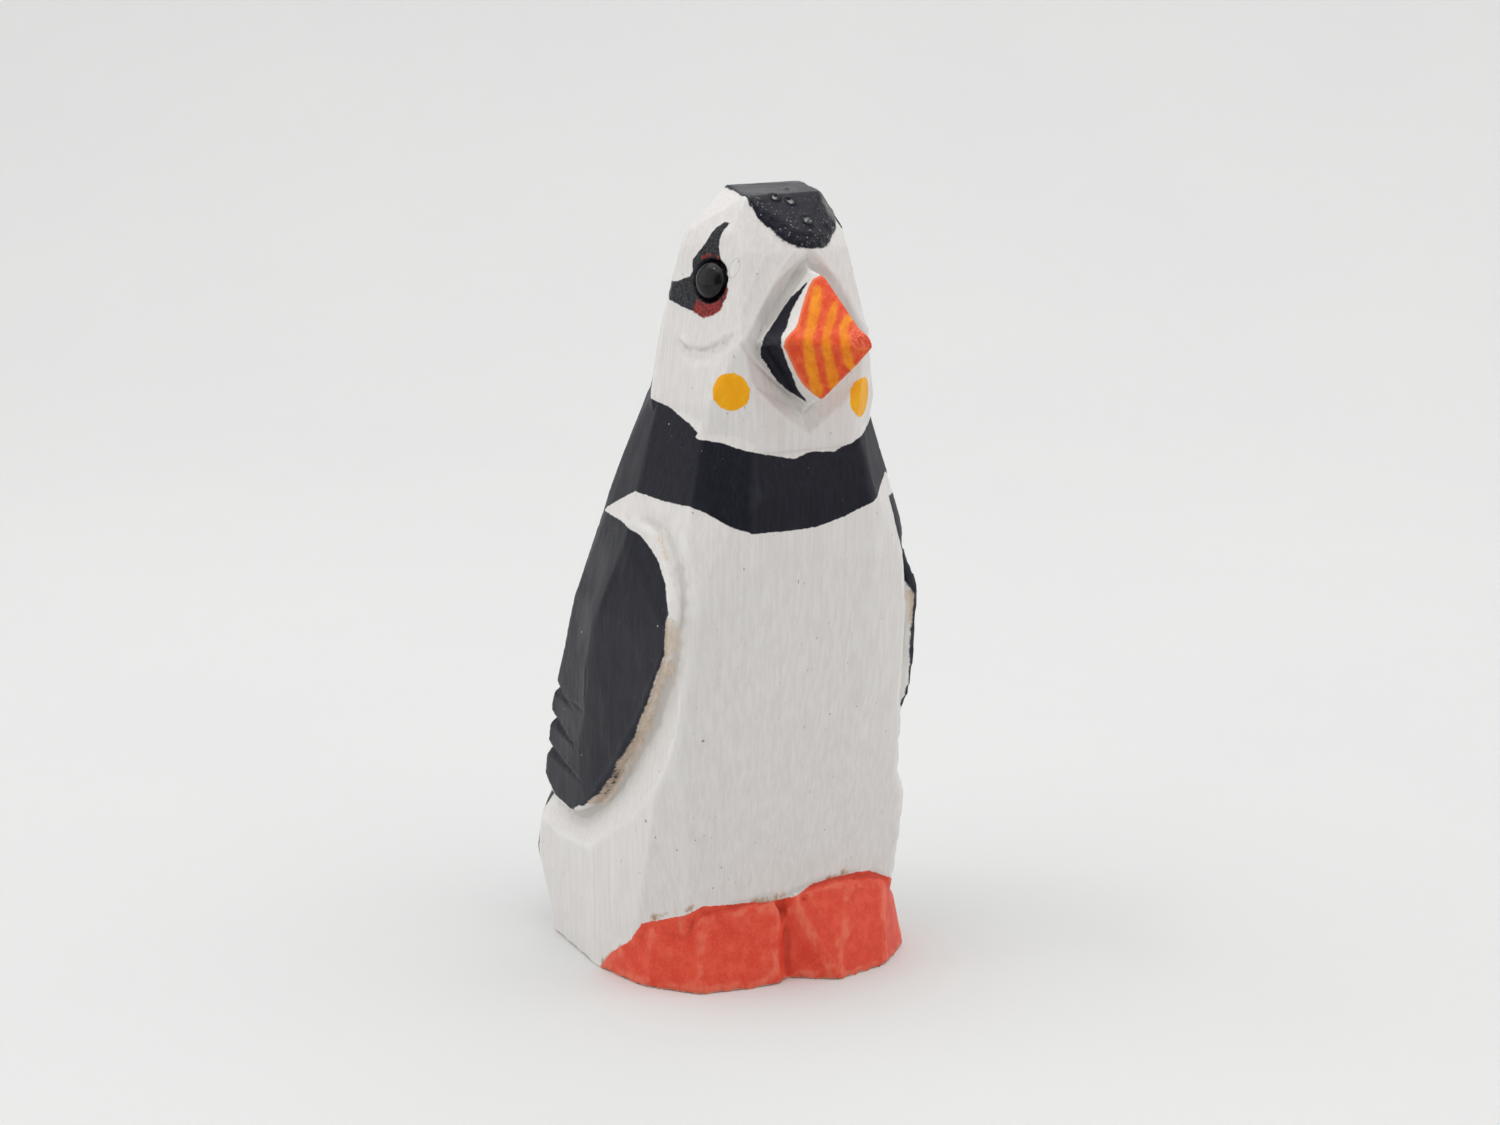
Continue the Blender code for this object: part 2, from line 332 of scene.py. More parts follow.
CAP_EDGE = (
    (728, 189), (736, 192), (742, 197), (749, 204), (755, 212), (758, 219), (765, 225),
    (774, 232), (777, 236), (782, 239), (781, 241), (791, 245), (800, 248), (809, 250),
    (816, 249), (823, 248), (829, 244), (832, 236), (836, 228), (835, 217),
)
PATCH = (
    (730, 223), (725, 222), (717, 227), (712, 232), (706, 242), (699, 251), (693, 259),
    (692, 265), (693, 270), (690, 276), (685, 278), (678, 281), (669, 281), (667, 287),
    (666, 293), (669, 296), (673, 301), (682, 307), (693, 311), (699, 314), (703, 317),
    (711, 315), (719, 310), (722, 305), (726, 298), (728, 290), (727, 283), (725, 274),
    (723, 264), (720, 256), (719, 247), (720, 238), (724, 230),
)
# The cap's narrow right facet, painted lighter grey as a painted reflection
CAP_REFLECTION_SLIVER = ((813, 187), (821, 190), (829, 200), (836, 213), (835, 224), (828, 216), (821, 202))
# The far eye patch's upper end, which shows against the light
FAR_SPIKE = ((833, 206), (840, 213), (846, 220), (849, 226))
ORANGE_EDGE = (
    (826, 270), (819, 276), (813, 279), (809, 286), (805, 297), (800, 314), (798, 323),
    (795, 329), (786, 342), (784, 346), (789, 358), (796, 374), (804, 386), (813, 394),
    (824, 401), (900, 420), (900, 260),
)
CRESCENT = (
    (811, 278), (800, 289), (791, 297), (783, 308), (775, 321), (768, 333), (761, 347),
    (760, 356), (763, 363), (772, 376), (778, 382), (789, 391), (798, 397), (807, 403),
    (804, 398), (798, 390), (793, 377), (788, 365), (784, 354), (782, 347), (785, 334),
    (788, 323), (791, 311), (797, 301), (803, 290),
)
# Each stripe of the beak: its pixels, with half its width in millimetres at each
STRIPES = (
    ((817, 290, 0.36), (816, 303, 0.46), (814, 315, 0.46), (811, 328, 0.42), (809, 340, 0.38),
     (809, 347, 0.46), (810, 359, 0.5), (813, 373, 0.52), (817, 391, 0.5)),
    ((835, 305, 0.26), (832, 317, 0.36), (829, 328, 0.36), (827, 339, 0.34), (827, 347, 0.4),
     (829, 359, 0.45), (832, 373, 0.47), (834, 386, 0.46)),
    ((859, 319, 0.16), (852, 318, 0.28), (847, 320, 0.34), (844, 326, 0.37), (845, 336, 0.36),
     (846, 347, 0.38), (848, 358, 0.38), (851, 366, 0.32)),
)
# The round knob near the beak's tip: centre and radius in millimetres
KNOB = ((862, 338), 0.92)
FOOT_EDGE = (
    (599, 967), (611, 953), (631, 940), (642, 923), (665, 919), (682, 916), (702, 906),
    (733, 904), (767, 901), (780, 899), (797, 896), (811, 884), (834, 877), (855, 872),
    (868, 870), (880, 874),
)
# Centre and radius in millimetres
CHEEK_DOTS = (((731, 392), 1.66), ((862, 397), 1.8))
# The red paint about the eye: round patches, with radii in millimetres, and a thin line
RED_PATCHES = (((704, 310), 1.25), ((715, 307), 0.9))
RED_LINE = (
    (703, 257), (710, 255), (718, 257), (722, 266), (725, 278), (727, 290), (723, 301),
)
# The bare wood along the channel behind the wing's front edge
BARE_BAND = (
    (674, 622), (669, 650), (661, 680), (650, 710), (639, 738), (626, 765), (612, 788),
    (602, 800),
)
# Worn and stained lines, each with half its width in millimetres
WORN_PLACES = (
    (((660, 529), (663, 545), (665, 559)), 0.28),
    (((688, 540), (690, 549)), 0.22),
    (((680, 560), (686, 563)), 0.16),
    (((654, 917), (668, 914), (690, 908)), 0.36),
    (((754, 902), (772, 903), (790, 898)), 0.55),
    (((828, 879), (846, 873)), 0.32),
    (((604, 964), (618, 952), (631, 943)), 0.4),
)
# A faint loop drawn before the right eye
PENCIL_LOOP = (
    (729, 269), (731, 263), (735, 259), (739, 258), (740, 263), (739, 270), (735, 276),
    (730, 279),
)
# Single dark flecks in the white, and chips of light ground in the black
FLECKS = (
    ((646, 821), 0.15), ((703, 741), 0.14), ((713, 888), 0.1), ((677, 850), 0.11),
    ((830, 714), 0.09), ((679, 617), 0.14), ((672, 619), 0.12), ((757, 274), 0.08),
    ((693, 513), 0.1), ((692, 388), 0.07), ((640, 873), 0.08), ((829, 623), 0.06),
)
CHIPS = (
    ((582, 632), 0.12), ((658, 626), 0.12), ((592, 656), 0.07), ((565, 709), 0.08),
    ((582, 755), 0.08), ((702, 451), 0.08), ((723, 459), 0.07), ((749, 464), 0.09),
    ((669, 424), 0.07), ((762, 506), 0.08), ((569, 600), 0.06), ((601, 562), 0.05),
)
# Burst paint bubbles on the cap, and the lumps round its front: centre and radius
PITS = (
    ((774, 198), 0.44), ((790, 202), 0.46), ((807, 221), 0.54), ((817, 239), 0.32),
)
LUMPS = (
    ((787, 190), 0.2), ((777, 233), 0.26), ((782, 233), 0.2), ((789, 236), 0.24),
    ((797, 231), 0.2), ((800, 240), 0.24), ((795, 242), 0.18), ((806, 245), 0.22),
    ((812, 243), 0.2), ((822, 236), 0.22), ((767, 221), 0.18), ((762, 213), 0.16),
    ((826, 226), 0.16), ((786, 241), 0.2), ((820, 245), 0.18), ((810, 233), 0.16),
    ((703, 257), 0.15), ((711, 254), 0.13), ((700, 262), 0.12), ((861, 338), 0.55),
)
# Knife ridges (raised) and cuts (sunk): pixels, height and half width in millimetres
KNIFE_LINES = (
    (((684, 338), (695, 350), (707, 353), (720, 348), (731, 335)), 0.22, 0.34),
    (((679, 341), (689, 353), (707, 357), (725, 356), (740, 345)), 0.06, 0.16),
    (((741, 345), (755, 362), (770, 377), (787, 392), (806, 408)), -0.12, 0.16),
    (((755, 388), (767, 400), (779, 412), (787, 422)), 0.07, 0.2),
    (((808, 267), (783, 305), (757, 347)), -0.1, 0.14),
    (((765, 257), (752, 285), (741, 315), (740, 344)), 0.07, 0.2),
    (((794, 251), (782, 268), (769, 291), (755, 319), (743, 343)), 0.08, 0.15),
    (((856, 322), (862, 330), (866, 341)), 0.26, 0.7),
    (((688, 346), (702, 348), (714, 346), (722, 341)), -0.12, 0.14),
    (((592, 535), (610, 531), (632, 529)), -0.12, 0.16),
    (((635, 537), (629, 556), (623, 576)), 0.08, 0.22),
    (((613, 575), (602, 604), (591, 636), (586, 668), (584, 700)), 0.07, 0.22),
    (((636, 521), (665, 538), (675, 559), (679, 583), (677, 607), (675, 621)), 0.32, 0.5),
    (((556, 693), (566, 700), (574, 703), (583, 711)), -0.12, 0.13),
    (((566, 739), (575, 745), (586, 758)), 0.1, 0.2),
    (((728, 759), (777, 748), (869, 731)), 0.05, 0.3),
    (((775, 903), (779, 912), (782, 922)), -0.35, 0.2),
    (((782, 922), (784, 932), (783, 940)), -0.06, 0.16),
    (((741, 908), (749, 925), (760, 948), (765, 968), (775, 981)), 0.06, 0.18),
    (((809, 894), (822, 915), (834, 938), (840, 955), (841, 975)), 0.07, 0.2),
    (((834, 946), (848, 934), (857, 920), (869, 908)), 0.05, 0.2),
    (((862, 872), (872, 893), (884, 920), (885, 950)), 0.06, 0.2),
    (((878, 940), (893, 931), (903, 922)), -0.06, 0.18),
)


def body_mesh():
    """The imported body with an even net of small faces."""
    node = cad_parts["puffin_body"]
    piece = bpy.data.objects.new("carved_body", node.data.copy())
    bpy.context.scene.collection.objects.link(piece)
    piece.data.materials.clear()
    weld = piece.modifiers.new("weld", "WELD")
    weld.merge_threshold = 1e-6
    net = piece.modifiers.new("net", "REMESH")
    net.mode = "VOXEL"
    net.voxel_size = VOXEL * MM
    net.adaptivity = 0
    graph = bpy.context.evaluated_depsgraph_get()
    mesh = bpy.data.meshes.new_from_object(piece.evaluated_get(graph))
    piece.modifiers.clear()
    piece.data = mesh
    mesh.name = "carved_body"
    set_places(mesh, evened(places_of(mesh), edges_of(mesh), 3))
    refine(mesh)
    return piece


def in_fine_box(places):
    """True for places in one of the boxes where the net is finer."""
    inside = [
        ((places > np.array(low)) & (places < np.array(high))).all(axis=1)
        for low, high in FINE_BOXES
    ]
    return np.any(inside, axis=0)


def refine(mesh):
    """Halves the net in the fine boxes."""
    fine = in_fine_box(places_of(mesh))
    shape = bmesh.new()
    shape.from_mesh(mesh)
    picked = [edge for edge in shape.edges if all(fine[end.index] for end in edge.verts)]
    bmesh.ops.subdivide_edges(shape, edges=picked, cuts=1, use_grid_fill=True)
    shape.to_mesh(mesh)
    shape.free()


def on_wood(places, spacing):
    """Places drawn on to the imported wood, those near a ridge of it on to that ridge."""
    drawn = np.empty_like(places)
    for number, place in enumerate(places):
        point = WOOD.find_nearest(Vector(place))[0]
        ridge, _, gap = RIDGE_TREE.find(point)
        drawn[number] = ridge if gap < SNAP_REACH * spacing[number] else point
    return drawn


def places_of(mesh):
    places = np.empty(len(mesh.vertices) * 3)
    mesh.vertices.foreach_get("co", places)
    return places.reshape(-1, 3) / MM


def normals_of(mesh):
    normals = np.empty(len(mesh.vertices) * 3)
    mesh.vertices.foreach_get("normal", normals)
    return normals.reshape(-1, 3)


def edges_of(mesh):
    edges = np.empty(len(mesh.edges) * 2, np.int64)
    mesh.edges.foreach_get("vertices", edges)
    return edges.reshape(-1, 2)


def set_places(mesh, places):
    mesh.vertices.foreach_set("co", (places * MM).ravel())
    mesh.update()


def evened(values, edges, rounds, share=0.5):
    """Each vertex moved towards its neighbours' mean, a number of times."""
    values = values.reshape(len(values), -1)
    count = np.bincount(edges.ravel(), minlength=len(values))[:, None]
    for _ in range(rounds):
        total = np.column_stack([
            np.bincount(edges[:, 0], column[edges[:, 1]], len(column))
            + np.bincount(edges[:, 1], column[edges[:, 0]], len(column))
            for column in values.T
        ])
        values = values + share * (total / count - values)
    return values.squeeze()


def smooth_step(values, low, high):
    share = np.clip((values - low) / (high - low), 0, 1)
    return share * share * (3 - 2 * share)


def wobble(places, size, seed):
    """Smooth noise between -1 and 1; size is its wavelength along each axis."""
    stretched = places / np.array(size, float) + seed * 17.3
    return np.array([noise.noise(Vector(place)) for place in stretched])


def stripe_field(pixels, stripe):
    """Distance into a stripe whose width changes along it."""
    field = np.full(len(pixels), OUTSIDE)
    for first, second in zip(stripe, stripe[1:]):
        start, end = np.array(first[:2], float), np.array(second[:2], float)
        way, share = way_from_edge(pixels, start, end)
        gap = np.linalg.norm(way, axis=1) / PIXELS_PER_MM
        field = np.maximum(field, first[2] + share * (second[2] - first[2]) - gap)
    return field


def beak_fields(places):
    """Orange, crescent, stripes and knob, as the photograph shows them from the right."""
    near = right_side(places)
    pixels = in_photo(near)
    aside = np.abs(places[:, 0]) / BEAK_HALF_WIDTH
    off_middle = aside + np.abs(places[:, 2] - BEAK_MIDDLE) / BEAK_HALF_HEIGHT
    far_side = places[:, 0] > BEAK_FAR_SIDE
    on_beak = off_middle < np.where(far_side, FAR_BEAK_SHARE, NEAR_BEAK_SHARE)
    on_beak &= places[:, 1] < np.where(far_side, FAR_BEAK_START, NEAR_BEAK_START)
    orange = np.where(on_beak, signed_distance(pixels, ORANGE_EDGE) / PIXELS_PER_MM, OUTSIDE)
    crescent = np.where(on_beak, signed_distance(pixels, CRESCENT) / PIXELS_PER_MM, OUTSIDE)
    stripes = np.maximum.reduce([stripe_field(pixels, stripe) for stripe in STRIPES])
    centre, radius = KNOB
    knob = radius - np.linalg.norm(pixels - centre, axis=1) / PIXELS_PER_MM
    stripes = np.minimum(stripes, -knob)
    return orange, crescent, stripes, knob


def wing_fields(torso):
    """Distance into the black of both wings and the back."""
    wing = seen(round_torso, *WING_FRONT)
    rear = torso_turns(
        (-127, 14.2), (-134, 15.6), (-137.8, 13.8), (-137.9, 12), (-137.1, 9), (-138, 3.5),
        (-150, 2.4), (-200, 2), (-200, 46), (-112, 45),
    )
    left = seen(round_torso, *LEFT_WING_FRONT)
    left += torso_turns((53, 23.5), (60, 21), (68, 18.6), (83, 16.6), (98, 15), (116, 13.2))
    return np.maximum(
        signed_distance(torso, wing + rear), signed_distance(torso, left + mirrored(rear))
    )


def bead_centre(node):
    low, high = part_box(node)
    return np.array((low + high) / 2) / MM


def by_right_eye(places):
    """Places mirrored on to the right, those about the left bead shifted to the right one."""
    shift = bead_centre("eye_right") - right_side(bead_centre("eye_left")[None])[0]
    return right_side(places) + np.where(places[:, :1] > 0, shift, 0)


def red_field(near, patch):
    """Distance into the red paint about the eye, outside the drilled socket."""
    bead = bead_centre("eye_right")
    red = np.full(len(near), OUTSIDE)
    for pixel, radius in RED_PATCHES:
        red = np.maximum(red, radius - np.linalg.norm(near - landed(*pixel), axis=1))
    red = np.minimum(red, np.linalg.norm(near - bead, axis=1) - SOCKET_RADIUS)
    line = line_distance(near, [landed(*pixel) for pixel in RED_LINE])
    red = np.maximum(red, RED_LINE_HALF - line)
    return np.minimum(red, patch + 0.1)


def paint_fields(places):
    """Signed distance into each painted area, in millimetres."""
    near = right_side(places)
    torso = round_torso(places)
    spike = seen(round_torso, *SPIKE_TOP)
    nape = torso_turns((112, 51.5), (140, 53), (200, 54))
    low_neck = torso_turns((200, 38), (115, 39))
    collar = (
        seen(round_torso, *FACE_EDGE)
        + nape
        + low_neck
        + mirrored(spike[::-1])
        + seen(round_torso, *COLLAR_EDGE)
        + spike
        + mirrored(low_neck[::-1])
        + mirrored(nape[::-1])
    )
    back_of_crown = [
        (4.6, -7.0), (5.3, -2.0), (4.8, 2.0), (4.4, 6), (5.5, 12), (-5.5, 12), (-4.4, 7),
        (-3.0, 1.5), (-2.9, -1.0),
    ]
    cap = signed_distance(from_above(places), seen(from_above, *CAP_EDGE) + back_of_crown)
    low = np.where(places[:, 1] < FOREHEAD, CAP_LOW_FRONT, CAP_LOW_BACK)
    cap = np.where(places[:, 2] > low, cap, OUTSIDE)
    about_eye = by_right_eye(places)
    patch = signed_distance(round_head(about_eye), seen(round_head, *PATCH))
    patch = np.where(places[:, 2] > EYE_LOW, patch, OUTSIDE)
    far_spike = FAR_SPIKE_HALF - line_distance(places, [landed(*pixel) for pixel in FAR_SPIKE])
    orange, crescent, stripes, knob = beak_fields(places)
    black = np.maximum.reduce(
        [signed_distance(torso, collar), wing_fields(torso), cap, patch, crescent, far_spike]
    )
    feet = seen(round_torso, *FOOT_EDGE)
    feet += torso_turns((74, 4.2), (96, 0.6), (110, -3), (-110, -3))
    dots = np.full(len(places), OUTSIDE)
    for pixel, radius in CHEEK_DOTS:
        dots = np.maximum(dots, radius - np.linalg.norm(places - landed(*pixel), axis=1))
    bare = BARE_BAND_HALF - line_distance(round_torso(near), seen(round_torso, *BARE_BAND))
    for line, half_width in WORN_PLACES:
        wear_and_ridge_highlight = half_width - line_distance(places, [landed(*pixel) for pixel in line])
        bare = np.maximum(bare, wear_and_ridge_highlight)
    pencil = signed_distance(round_head(places), seen(round_head, *PENCIL_LOOP))
    return {
        "black": black,
        "cap": cap,
        "patch": patch,
        "reflection_sliver": signed_distance(from_above(places), seen(from_above, *CAP_REFLECTION_SLIVER)),
        "orange": orange,
        "stripes": stripes,
        "knob": knob,
        "coral": signed_distance(torso, feet),
        "dots": dots,
        "ring": red_field(about_eye, patch),
        "bare": bare,
        "pencil": np.where(places[:, 2] > EYE_LOW, pencil, OUTSIDE),
    }


def knife_facets(places, normals, count, tilt, seed):
    """Shallow flat cuts: at each place the deepest of the cuts that reach it."""
    chance = np.random.default_rng(seed)
    picks = chance.choice(len(places), count, replace=False)
    centres = places[picks].astype(np.float32)
    facing = normals[picks].astype(np.float32)
    slopes = chance.normal(size=(count, 3)).astype(np.float32)
    slopes -= (slopes * facing).sum(axis=1)[:, None] * facing
    slopes *= math.tan(math.radians(tilt)) / np.linalg.norm(slopes, axis=1)[:, None]
    slopes *= chance.uniform(0.2, 1, (count, 1)).astype(np.float32)
    depths = np.empty(len(places), np.float32)
    for start in range(0, len(places), KNIFE_BATCH):
        part = slice(start, start + KNIFE_BATCH)
        way = places[part].astype(np.float32)[:, None] - centres
        apart = (way**2).sum(axis=2)
        height = (way * slopes).sum(axis=2) + KNIFE_BEND * apart
        agree = normals[part].astype(np.float32) @ facing.T
        height += KNIFE_TURN_AWAY * (1 - agree)
        depths[part] = height.min(axis=1)
    return np.clip(depths - np.median(depths), *KNIFE_LIMITS)


def add_relief(places, normals, edges, fields):
    """The places moved by knife cuts, grain, paint thickness and paint bubbles."""
    facets = knife_facets(places, normals, KNIFE_CUTS, KNIFE_TILT, KNIFE_SEED)
    facets = evened(facets, edges, 1)
    grain = wobble(places, (0.9, 0.9, 9), 1) + 0.6 * wobble(places, (0.5, 0.5, 5), 2)
    lumps = wobble(places, (3.0, 3.0, 5.0), 3)
    painted = np.maximum.reduce([fields[name] for name in ("black", "orange", "coral", "dots")])
    thick = PAINT_THICKNESS * smooth_step(painted, -0.12, 0.18)
    thick += CAP_THICKNESS * smooth_step(fields["cap"], -0.06, 0.2)
    shift = KNIFE_SHARE * facets + GRAIN_HEIGHT * grain + LUMP_HEIGHT * lumps + thick
    cap_front = smooth_step(fields["cap"], 0, 0.2) * smooth_step(-places[:, 1], 6, 9)
    cap_rim = cap_front * smooth_step(-fields["cap"], -1.6, -0.6)
    fields["stipple"] = 0.25 * cap_front + 0.75 * cap_rim
    crust = CAP_CRUST * cap_front + CAP_RIM_CRUST * cap_rim
    shift += crust * wobble(places, (0.45, 0.45, 0.45), 4)
    for pixel, radius in PITS:
        apart = np.linalg.norm(places - landed(*pixel), axis=1) / radius
        shift += PIT_RIM * np.exp(-(((apart - 1) / 0.35) ** 2))
        shift -= PIT_DEPTH * np.exp(-((apart / 0.6) ** 2))
    for pixel, radius in LUMPS:
        apart = np.linalg.norm(places - landed(*pixel), axis=1) / radius
        shift += BUBBLE_HEIGHT * np.exp(-(apart**2))
    near = right_side(places)
    for line, height, half_width in KNIFE_LINES:
        gap = line_distance(near, [right_side(landed(*pixel)[None])[0] for pixel in line])
        shift += height * np.exp(-((gap / half_width) ** 2))
    return places + shift[:, None] * normals


def store(mesh, name, values):
    layer = mesh.attributes.new(name, "FLOAT", "POINT")
    layer.data.foreach_set("value", np.asarray(values, np.float32))


class Shader:
    """Builds one node material with few words."""

    def __init__(self, name):
        self.material = bpy.data.materials.new(name)
        self.material.use_nodes = True
        self.tree = self.material.node_tree
        self.surface = self.tree.nodes["Principled BSDF"]

    def put(self, socket, value):
        if isinstance(value, bpy.types.NodeSocket):
            self.tree.links.new(value, socket)
        else:
            socket.default_value = value

    def calc(self, kind, *values):
        """One step of arithmetic."""
        made = self.tree.nodes.new("ShaderNodeMath")
        made.operation = kind
        for socket, value in zip(made.inputs, values):
            self.put(socket, value)
        return made.outputs[0]

    def times(self, first, second):
        return self.calc("MULTIPLY", first, second)

    def attribute(self, name):
        made = self.tree.nodes.new("ShaderNodeAttribute")
        made.attribute_name = name
        return made.outputs["Fac"]

    def place(self, size):
        """Object coordinates divided by a size in millimetres along each axis."""
        made = self.tree.nodes.new("ShaderNodeMapping")
        made.inputs["Scale"].default_value = [1 / (MM * value) for value in size]
        self.put(made.inputs["Vector"], self.where())
        return made.outputs["Vector"]

    def where(self):
        return self.tree.nodes.new("ShaderNodeTexCoord").outputs["Object"]

    def noise(self, size, detail=3.0, rough=0.55):
        made = self.tree.nodes.new("ShaderNodeTexNoise")
        self.put(made.inputs["Vector"], self.place(size))
        made.inputs["Scale"].default_value = 1
        made.inputs["Detail"].default_value = detail
        made.inputs["Roughness"].default_value = rough
        return made.outputs["Fac"]

    def specks(self, size, reach):
        """1 in small round specks, about one to each cell of that size."""
        made = self.tree.nodes.new("ShaderNodeTexVoronoi")
        self.put(made.inputs["Vector"], self.place((size, size, size)))
        made.inputs["Scale"].default_value = 1
        return self.ramp(made.outputs["Distance"], reach, reach * 0.6)

    def apart(self, place, radius):
        """Distance from a place, in radii; both are in millimetres."""
        made = self.tree.nodes.new("ShaderNodeVectorMath")
        made.operation = "DISTANCE"
        self.put(made.inputs[0], self.where())
        made.inputs[1].default_value = [value * MM for value in place]
        return self.times(made.outputs["Value"], 1 / (radius * MM))

    def dots(self, spots, ragged):
        """1 inside small ragged spots given as pixels and radii in millimetres."""
        total = 0.0
        for pixel, radius in spots:
            apart = self.apart(landed(*pixel), radius)
            apart = self.calc("ADD", apart, self.times(ragged, 4.0))
            total = self.calc("MAXIMUM", total, self.ramp(apart, 1.1, 0.7))
        return total

    def ramp(self, value, low, high):
        made = self.tree.nodes.new("ShaderNodeMapRange")
        made.interpolation_type = "SMOOTHSTEP"
        self.put(made.inputs["Value"], value)
        if low > high:
            low, high = high, low
            made.inputs["To Min"].default_value = 1
            made.inputs["To Max"].default_value = 0
        made.inputs["From Min"].default_value = low
        made.inputs["From Max"].default_value = high
        return made.outputs["Result"]

    def mix(self, share, first, second):
        made = self.tree.nodes.new("ShaderNodeMix")
        made.data_type = "RGBA"
        self.put(made.inputs["Factor"], share)
        for name, value in (("A", first), ("B", second)):
            colours = [end for end in made.inputs if end.name == name and end.type == "RGBA"]
            self.put(colours[0], value)
        return [end for end in made.outputs if end.type == "RGBA"][0]

    def tones(self, pattern, low, high, first, second):
        """The first colour where a pattern is low, the second where it is high."""
        return self.mix(self.ramp(pattern, low, high), colour(*first), colour(*second))

    def glaze(self, under, share, strength, paint):
        """A colour laid thinly over what is under it."""
        return self.mix(self.times(share, strength), under, colour(*paint))

    def bump(self, height, strength, depth, under=None):
        """A normal from a height; depth is in millimetres."""
        made = self.tree.nodes.new("ShaderNodeBump")
        self.put(made.inputs["Height"], height)
        made.inputs["Strength"].default_value = strength
        made.inputs["Distance"].default_value = depth * MM
        if under is not None:
            self.put(made.inputs["Normal"], under)
        return made.outputs["Normal"]


def colour(red, green, blue):
    """A colour given as 0 to 255 on a screen, as the shader wants it."""
    linear = [
        level / 12.92 if level <= 0.04045 else ((level + 0.055) / 1.055) ** 2.4
        for level in (red / 255, green / 255, blue / 255)
    ]
    return (*linear, 1)


class Paint(Shader):
    """The patterns that all the paints on the wood share."""

    def __init__(self):
        super().__init__("brushed_paint_on_carved_wood")
        ragged = self.calc("SUBTRACT", self.noise((0.5, 0.5, 0.5), 4, 0.7), 0.5)
        self.ragged = self.times(ragged, 0.3)
        self.streaks = self.noise((0.3, 0.3, 6), 4, 0.6)
        self.mottle = self.noise((4, 4, 6), 4, 0.6)
        self.clouds = self.noise((1.3, 1.3, 2.2), 5, 0.65)
        self.fine = self.noise((0.14, 0.14, 0.22), 2, 0.5)
        # Painted shade in the hollows and painted highlight along the ridges, both from the
        # carving's curvature
        self.hollow_shade = self.ramp(self.attribute("hollow"), 0.01, 0.09)
        self.raised = self.times(self.attribute("hollow"), -1.0)
        self.wear_and_ridge_highlight = self.ramp(self.raised, 0.02, 0.1)

    def area(self, name, soft=0.05, ragged_share=1.0):
        """1 inside a painted area, with a ragged border."""
        edge = self.calc("MULTIPLY_ADD", self.ragged, ragged_share, self.attribute(name))
        return self.ramp(edge, -soft, soft)


def white_paint(wood):
    """Streaky white; painted shade in hollows, highlight on ridges; dark flecks; pencil loop."""
    white = wood.tones(wood.streaks, 0.3, 0.72, (223, 219, 216), (232, 229, 226))
    white = wood.glaze(white, wood.ramp(wood.clouds, 0.5, 0.75), 0.5, (221, 214, 209))
    white = wood.glaze(white, wood.ramp(wood.mottle, 0.55, 0.8), 0.4, (220, 214, 216))
    # Painted shade: greyer white in the hollows of the carving
    white = wood.glaze(white, wood.hollow_shade, 0.35, (176, 168, 160))
    # Painted highlight: paler white along the ridges
    white = wood.glaze(white, wood.wear_and_ridge_highlight, 0.5, (240, 238, 236))
    flecks = wood.ramp(wood.noise((0.3, 0.3, 0.6), 2, 0.5), 0.69, 0.76)
    flecks = wood.times(flecks, wood.ramp(wood.clouds, 0.46, 0.6))
    white = wood.glaze(white, flecks, 0.7, (132, 124, 120))
    white = wood.glaze(white, wood.dots(FLECKS, wood.ragged), 0.75, (126, 120, 118))
    pencil = wood.calc("MULTIPLY_ADD", wood.ragged, 0.2, wood.attribute("pencil"))
    pencil = wood.ramp(wood.calc("ABSOLUTE", pencil), 0.06, 0.02)
    return wood.glaze(white, pencil, 0.3, (120, 116, 116))


def bare_wood(wood):
    wood_tone = wood.tones(wood.streaks, 0.3, 0.7, (210, 188, 162), (230, 214, 196))
    return wood.glaze(wood_tone, wood.ramp(wood.fine, 0.56, 0.7), 0.35, (150, 122, 96))


def worn_ground(wood, white, wood_tone):
    """The white, worn through to bare wood and stained beside the wing and the feet."""
    patchy = wood.times(wood.calc("SUBTRACT", wood.clouds, 0.5), 2.6)
    bare = wood.ramp(wood.calc("ADD", wood.attribute("bare"), patchy), -0.1, 0.5)
    ground = wood.mix(wood.times(bare, 0.75), white, wood_tone)
    by_wing = wood.times(wood.ramp(wood.attribute("black"), -0.26, -0.08), bare)
    ground = wood.glaze(ground, by_wing, 0.4, (156, 130, 104))
    by_foot = wood.times(wood.ramp(wood.attribute("coral"), -1.0, -0.3), bare)
    return wood.glaze(ground, by_foot, 0.7, (152, 110, 78))


